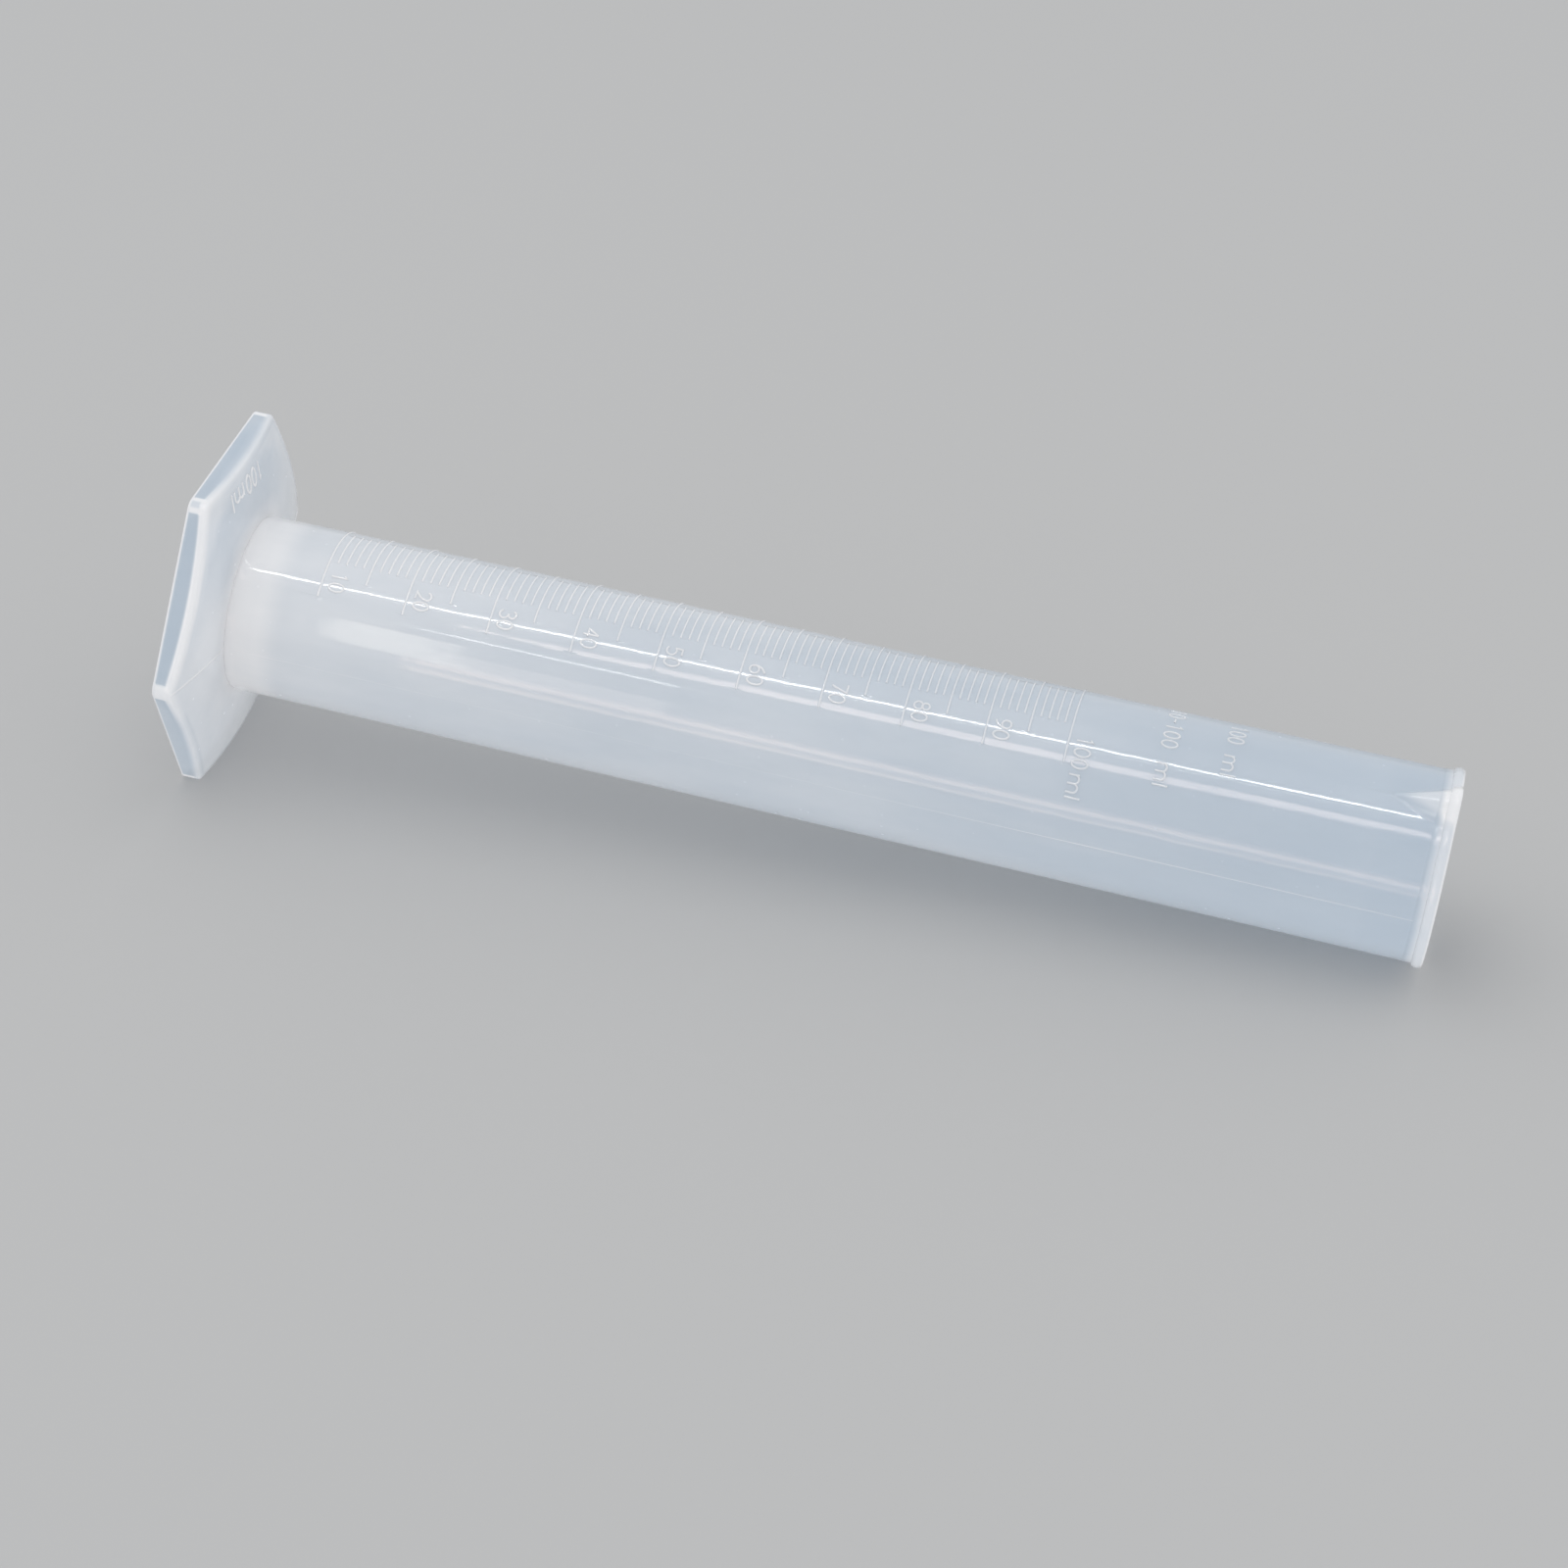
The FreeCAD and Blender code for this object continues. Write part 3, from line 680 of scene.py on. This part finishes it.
def foot_mesh():
    """The foot's vertices, whiteness values and faces: a closed skin of rings, from the middle of
    the cup's underside out under the dome, round the skirt, over the dome, up the plug and into
    the cup. A ring's whiteness is one number, a pair for plate_whiteness, the painted panel shade
    on a side face, or None on the dome."""
    columns = foot_columns()
    plug_radius = TUBE_RADIUS_LOW - TUBE_WALL
    cup_radius = plug_radius - PLUG_WALL
    skirt_inside = FOOT_WALL + 0.6
    dome_start = 1.9
    vertices, whiteness_and_painted_light = [], []

    def add_ring(radius_of, level_of, solid, cornered=False):
        for angle in columns:
            radius = radius_of(angle)
            vertices.append(turned(radius, angle, level_of(radius, angle)))
            if solid is None:
                white = dome_whiteness(radius, angle)
            elif isinstance(solid, tuple):
                white = plate_whiteness(angle, *solid)
            # painted shade on the foot's side faces
            elif solid == PAINTED_PANEL_SHADE:
                white = panel_whiteness(angle)
            else:
                white = solid
            if cornered:
                white = mix(white, 1.0, corner_share(angle))
            if level_of is foot_top_level and on_seam(angle):
                white = FOOT_SEAM_WHITENESS
            whiteness_and_painted_light.append(white)

    def hex_ring(inset, level_of, solid, cornered=False):
        add_ring(lambda angle: hexagon_radius(angle, inset), level_of, solid, cornered)

    def blended_ring(share, inset, end_radius, level_of, solid):
        add_ring(lambda angle: mix(hexagon_radius(angle, inset), end_radius, share),
                 level_of, solid)

    def round_ring(radius, level, solid=1.0):
        add_ring(lambda angle: radius, lambda radius, angle: level, solid)

    def under_dome(radius, angle):
        return dome_level(radius, FOOT_WALL)

    def flat(level):
        return lambda radius, angle: level

    def below_top(depth):
        return lambda radius, angle: dome_level(radius) - depth

    # the cup's underside, the ceiling of the hollow and the inside of the skirt
    round_ring(0.01, FLOOR_LEVEL - PLUG_WALL)
    round_ring(plug_radius - 0.4, FLOOR_LEVEL - PLUG_WALL)
    round_ring(plug_radius, FLOOR_LEVEL - PLUG_WALL + 0.4)
    round_ring(plug_radius, under_dome(plug_radius, 0) - 0.5)
    add_ring(lambda angle: plug_radius + 0.5, under_dome, DOME_WHITENESS)
    for share in (0.8, 0.6, 0.4, 0.2):
        blended_ring(share, skirt_inside, plug_radius + 0.5, under_dome, DOME_WHITENESS)
    hex_ring(skirt_inside, under_dome, DOME_WHITENESS)
    hex_ring(FOOT_WALL, lambda radius, angle: under_dome(radius, angle) - 0.6, 0.3)
    # the inside of the side faces, painted darker as painted shade
    hex_ring(FOOT_WALL, lambda radius, angle: under_dome(radius, angle) - 1.0,
             PAINTED_PANEL_SHADE, True)
    hex_ring(FOOT_WALL, flat(0.5), PAINTED_PANEL_SHADE, True)
    hex_ring(FOOT_WALL, flat(0.3), 1.0)
    hex_ring(FOOT_WALL - 0.3, flat(0.0), 1.0)
    # the outside of the skirt, its rounded edges and the dome
    hex_ring(FOOT_EDGE, flat(0.0), 1.0)
    hex_ring(FOOT_EDGE * 0.3, flat(FOOT_EDGE * 0.3), 1.0)
    hex_ring(0.0, flat(FOOT_EDGE), 0.8)
    # the outside of the side faces, painted darker as painted shade
    hex_ring(0.0, flat(FOOT_EDGE + 0.25), PAINTED_PANEL_SHADE, True)
    hex_ring(0.0, below_top(2.4), PAINTED_PANEL_SHADE, True)
    hex_ring(0.0, below_top(1.5), (-0.25, PAINTED_PANEL_SHADE), True)
    hex_ring(0.0, below_top(1.05), (0.05, 0.8), True)
    hex_ring(0.0, below_top(FOOT_EDGE), (0.5, 1.0))
    hex_ring(FOOT_EDGE * 0.3, below_top(FOOT_EDGE * 0.35), (0.65, 1.0))
    hex_ring(FOOT_EDGE, foot_top_level, (0.6, 1.0))
    hex_ring(1.2, foot_top_level, (0.4, 0.85))
    hex_ring(dome_start, foot_top_level, None)
    for share in (0.12, 0.25, 0.4, 0.55, 0.7, 0.85):
        blended_ring(share, dome_start, TUBE_RADIUS_LOW, foot_top_level, None)
    round_ring(TUBE_RADIUS_LOW, SEAT, 0.8)
    # the plug and the cup in it
    round_ring(plug_radius, SEAT)
    round_ring(plug_radius - 0.02, PLUG_TOP - 0.5)
    round_ring(plug_radius - 0.2, PLUG_TOP - 0.15)
    round_ring(plug_radius - 0.5, PLUG_TOP)
    round_ring(cup_radius + 0.2, PLUG_TOP)
    round_ring(cup_radius, PLUG_TOP - 0.2)
    round_ring(cup_radius, FLOOR_LEVEL + 1.0)
    round_ring(cup_radius - 0.3, FLOOR_LEVEL + 0.3)
    round_ring(cup_radius - 1.0, FLOOR_LEVEL)
    round_ring(0.01, FLOOR_LEVEL)

    count = len(columns)
    rows = len(vertices) // count
    faces = ring_faces(rows, count)
    faces.append(tuple(reversed(range(count))))
    faces.append(tuple(range((rows - 1) * count, rows * count)))
    return vertices, whiteness_and_painted_light, faces


# ---------------------------------------------------------------- materials

# base colour and opacity of a plain wall, of solid plastic and of the darkest, which painted shade
# leans to
WALL_COLOUR = (0.63, 0.70, 0.78)
THICK_COLOUR = (0.922, 0.921, 0.934)
DARKEST_COLOUR = (0.42, 0.52, 0.63)
WALL_ALPHA = 0.72
THICK_ALPHA = 0.88


def add_node(tree, kind, **values):
    node = tree.nodes.new(kind)
    for name, value in values.items():
        if name in node.inputs:
            node.inputs[name].default_value = value
        else:
            setattr(node, name, value)
    return node


def milky_plastic(name):
    """Natural polypropylene: milky and faintly blue in a plain wall, whiter and denser where it
    is thick. The same whiteness carries painted light on the spout and painted shade on the
    foot's side faces. It has soft clouding, fine draw lines along the axis from the mould, a
    fine grain in its gloss, and specks of dust."""
    material = bpy.data.materials.new(name)
    material.use_nodes = True
    tree = material.node_tree
    tree.nodes.clear()
    link = tree.links.new
    output = add_node(tree, "ShaderNodeOutputMaterial")
    shader = add_node(tree, "ShaderNodeBsdfPrincipled")
    shader.inputs["IOR"].default_value = 1.49
    shader.inputs["Sheen Weight"].default_value = 0.12
    shader.inputs["Sheen Roughness"].default_value = 0.4
    link(shader.outputs["BSDF"], output.inputs["Surface"])

    place = add_node(tree, "ShaderNodeTexCoord").outputs["Object"]
    # this whiteness is mostly thickness, with painted light on the spout and painted shade on the
    # foot's sides
    thick = add_node(tree, "ShaderNodeAttribute", attribute_name=THICKNESS_AND_PAINTED_LIGHT).outputs["Fac"]

    # cloudy flow marks, longer along the axis than across it
    flow = add_node(tree, "ShaderNodeMapping")
    flow.inputs["Scale"].default_value = (70.0, 70.0, 22.0)
    link(place, flow.inputs["Vector"])
    cloud = add_node(tree, "ShaderNodeTexNoise", Scale=1.0, Detail=4.0, Roughness=0.55)
    link(flow.outputs["Vector"], cloud.inputs["Vector"])

    def between(value, start, end, low, high):
        spread = add_node(tree, "ShaderNodeMapRange")
        spread.inputs["From Min"].default_value = start
        spread.inputs["From Max"].default_value = end
        spread.inputs["To Min"].default_value = low
        spread.inputs["To Max"].default_value = high
        link(value, spread.inputs["Value"])
        return spread.outputs["Result"]

    def combine(operation, first, second):
        node = add_node(tree, "ShaderNodeMath", operation=operation)
        link(first, node.inputs[0])
        link(second, node.inputs[1])
        return node.outputs["Value"]

    whiteness = combine("ADD", thick, between(cloud.outputs["Fac"], 0.35, 0.65, -0.08, 0.12))
    tint = add_node(tree, "ShaderNodeValToRGB")
    tint.color_ramp.elements[0].position = 0.0
    tint.color_ramp.elements[0].color = (*DARKEST_COLOUR, 1)
    tint.color_ramp.elements[1].position = 1.0
    tint.color_ramp.elements[1].color = (*THICK_COLOUR, 1)
    wall = tint.color_ramp.elements.new(0.5)
    wall.color = (*WALL_COLOUR, 1)
    link(between(whiteness, -1.0, 1.0, 0.0, 1.0), tint.inputs["Fac"])
    link(tint.outputs["Color"], shader.inputs["Base Color"])
    link(between(whiteness, 0.0, 1.0, WALL_ALPHA, THICK_ALPHA), shader.inputs["Alpha"])

    # fine grain in the gloss, and duller specks of dust
    grain = add_node(tree, "ShaderNodeTexNoise", Scale=1400.0, Detail=3.0, Roughness=0.6)
    link(place, grain.inputs["Vector"])
    dust = add_node(tree, "ShaderNodeTexVoronoi", Scale=260.0)
    link(place, dust.inputs["Vector"])
    speck = between(dust.outputs["Distance"], 0.05, 0.09, 0.35, 0.0)
    gloss = between(grain.outputs["Fac"], 0.3, 0.7, 0.04, 0.09)
    link(combine("ADD", gloss, speck), shader.inputs["Roughness"])

    # draw lines along the axis, and the soft waviness of a moulded wall
    stretch = add_node(tree, "ShaderNodeMapping")
    stretch.inputs["Scale"].default_value = (2600.0, 2600.0, 14.0)
    link(place, stretch.inputs["Vector"])
    draw = add_node(tree, "ShaderNodeTexNoise", Scale=1.0, Detail=2.0, Roughness=0.5)
    link(stretch.outputs["Vector"], draw.inputs["Vector"])
    wave = add_node(tree, "ShaderNodeTexNoise", Scale=90.0, Detail=2.0, Roughness=0.5)
    link(place, wave.inputs["Vector"])
    bump_fine = add_node(tree, "ShaderNodeBump", Strength=0.08, Distance=0.00002)
    link(draw.outputs["Fac"], bump_fine.inputs["Height"])
    bump_soft = add_node(tree, "ShaderNodeBump", Strength=0.22, Distance=0.0003)
    link(wave.outputs["Fac"], bump_soft.inputs["Height"])
    link(bump_fine.outputs["Normal"], bump_soft.inputs["Normal"])
    link(bump_soft.outputs["Normal"], shader.inputs["Normal"])
    return material


def plain_floor_material():
    """A pale matt floor, seen from above only."""
    material = bpy.data.materials.new("pale_floor")
    material.use_nodes = True
    tree = material.node_tree
    tree.nodes.clear()
    link = tree.links.new
    output = add_node(tree, "ShaderNodeOutputMaterial")
    pale = add_node(tree, "ShaderNodeBsdfDiffuse", Color=(0.52, 0.52, 0.52, 1.0))
    away = add_node(tree, "ShaderNodeBsdfTransparent")
    side = add_node(tree, "ShaderNodeNewGeometry")
    pick = add_node(tree, "ShaderNodeMixShader")
    link(side.outputs["Backfacing"], pick.inputs["Fac"])
    link(pale.outputs["BSDF"], pick.inputs[1])
    link(away.outputs["BSDF"], pick.inputs[2])
    link(pick.outputs["Shader"], output.inputs["Surface"])
    return material


# ---------------------------------------------------------------- the pieces

def make_tube():
    """The graduated tube with its numerals, in place of the CAD's tube."""
    tube = add_object("graduated_tube", *joined(tube_mesh(), numeral_mesh()))
    tube.data.materials.append(milky_plastic("tube_plastic"))
    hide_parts("measuring_tube")
    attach(tube, "root")
    return tube


def make_foot():
    """The hexagonal foot with its lettering, in place of the CAD's foot."""
    foot = add_object("hexagonal_foot", *joined(foot_mesh(), foot_text_mesh()))
    foot.data.materials.append(milky_plastic("foot_plastic"))
    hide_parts("hex_foot")
    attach(foot, "root")
    return foot


# ---------------------------------------------------------------- stage, lights and camera

# The cylinder lies on the floor: on the foot's +Y flat and on the rim, so the floor is a plane on
# the +Y side, tilted by the foot's overhang, and up is close to -Y.
REST_LOW = Vector((0, FOOT_REACH, 0)) * MM
REST_HIGH = Vector((0, TUBE_RADIUS_MOUTH + BEAD_PROUD, MOUTH)) * MM
ALONG = (REST_HIGH - REST_LOW).normalized()
ACROSS = Vector((1, 0, 0))
UPWARD = ACROSS.cross(ALONG).normalized()
MIDDLE = Vector((0, 0, MOUTH / 2)) * MM

# in metres
FLOOR_HALF_SIZE = 1.2
OVERHEAD_HEIGHT = 1.1


def make_floor():
    """The floor under the lying cylinder."""
    centre = (REST_LOW + REST_HIGH) / 2
    corners = [centre + (ACROSS * x + ALONG * y) * FLOOR_HALF_SIZE
               for x, y in ((-1, -1), (1, -1), (1, 1), (-1, 1))]
    mesh = bpy.data.meshes.new("floor")
    mesh.from_pydata(corners, [], [(0, 1, 2, 3)])
    mesh.update()
    if mesh.polygons[0].normal.dot(UPWARD) < 0:
        mesh.flip_normals()
    floor = bpy.data.objects.new("floor", mesh)
    mesh.materials.append(plain_floor_material())
    bpy.context.scene.collection.objects.link(floor)
    # it takes the object's shadow, and doesn't darken the side that it is under
    floor.visible_shadow = False
    floor.visible_diffuse = False
    return floor


def add_area_light(name, low, high, width, power, colour=(1, 1, 1), gloss_only=False):
    """A soft box from one point to another, its face to the middle of the tube. One for gloss
    only is seen in reflections and doesn't light the plastic's milky body."""
    data = bpy.data.lights.new(name, "AREA")
    data.shape = "RECTANGLE"
    data.size = width
    data.size_y = (high - low).length
    data.energy = power
    data.color = colour
    light = bpy.data.objects.new(name, data)
    centre = (low + high) / 2
    upright = (high - low).normalized()
    side = upright.cross(centre - MIDDLE).normalized()
    back = side.cross(upright)
    light.matrix_world = Matrix.Translation(centre) @ Matrix(
        (side, upright, back)).transposed().to_4x4()
    light.visible_camera = False
    light.visible_diffuse = not gloss_only
    bpy.context.scene.collection.objects.link(light)
    return light


def around(angle, level, distance=900.0):
    """A light's place off the tube, at an angle from +X in degrees and a level in mm."""
    return Vector(turned(distance, angle, level))


def make_lights():
    """An overhead soft box, a soft bounce near the mouth, strips for gloss and a pale sky."""
    above = MIDDLE + UPWARD * OVERHEAD_HEIGHT
    add_area_light("overhead", above - ALONG * 0.8, above + ALONG * 0.4, 1.0, 1.6)
    bounce = add_area_light("bounce", around(45, 215, 180.0), around(45, 295, 180.0), 0.08, 0.032)
    bounce.visible_glossy = False
    add_area_light("strip", around(-76, -250), around(-88.5, 240), 0.025, 1.3, gloss_only=True)
    add_area_light("second_strip", around(-60.5, -140), around(-68.5, 245), 0.10, 0.75,
                   (1.0, 0.82, 0.76), gloss_only=True)
    add_area_light("third_strip", around(-47.4, -170), around(-47.4, -70), 0.03, 0.08,
                   gloss_only=True)
    add_area_light("window", around(-38, -180), around(-10, -180), 0.05, 0.24,
                   (1.0, 0.93, 0.82), gloss_only=True)
    add_area_light("window_side", around(-26, -115), around(-8, -115), 0.09, 0.13,
                   (1.0, 0.86, 0.78), gloss_only=True)
    peach = (1.0, 0.74, 0.62)
    for name, angle, width, power in (("low_strip", -2, 0.12, 0.10), ("low_line", -7, 0.025, 0.06),
                                      ("low_line_two", 5, 0.045, 0.08)):
        add_area_light(name, around(angle, -30, 300.0), around(angle, 222, 300.0), width, power,
                       peach, gloss_only=True)
    world = bpy.data.worlds.new("studio")
    world.use_nodes = True
    ground = world.node_tree.nodes["Background"]
    ground.inputs["Color"].default_value = (0.98, 0.99, 1.0, 1)
    ground.inputs["Strength"].default_value = 0.90
    bpy.context.scene.world = world
    bpy.context.scene.view_settings.view_transform = "Standard"


# The camera stands off the +X, -Y side, a little above the middle of the tube, and is rolled so
# that the tube lies across the picture, foot to the left.
CAMERA_DIRECTION = -34.8
CAMERA_DISTANCE = 694.0
CAMERA_LEVEL = 198.3
AIM = Vector((6.1, 8.7, 105.6))
CAMERA_ROLL = 102.76
CAMERA_LENS = 93.0


def make_camera():
    """The camera at the photograph's viewing angle."""
    data = bpy.data.cameras.new("camera")
    data.sensor_width = 36.0
    data.lens = CAMERA_LENS
    data.clip_start = 0.01
    data.clip_end = 20.0
    camera = bpy.data.objects.new("camera", data)
    stand = Vector(turned(CAMERA_DISTANCE, CAMERA_DIRECTION, CAMERA_LEVEL))
    back = (stand - AIM * MM).normalized()
    camera.rotation_mode = "QUATERNION"
    camera.location = stand
    upright = (-back).to_track_quat("-Z", "Y")
    camera.rotation_quaternion = upright @ Quaternion((0, 0, 1), math.radians(CAMERA_ROLL))
    bpy.context.scene.collection.objects.link(camera)
    bpy.context.scene.camera = camera


make_tube()
make_foot()
make_floor()
make_lights()
make_camera()
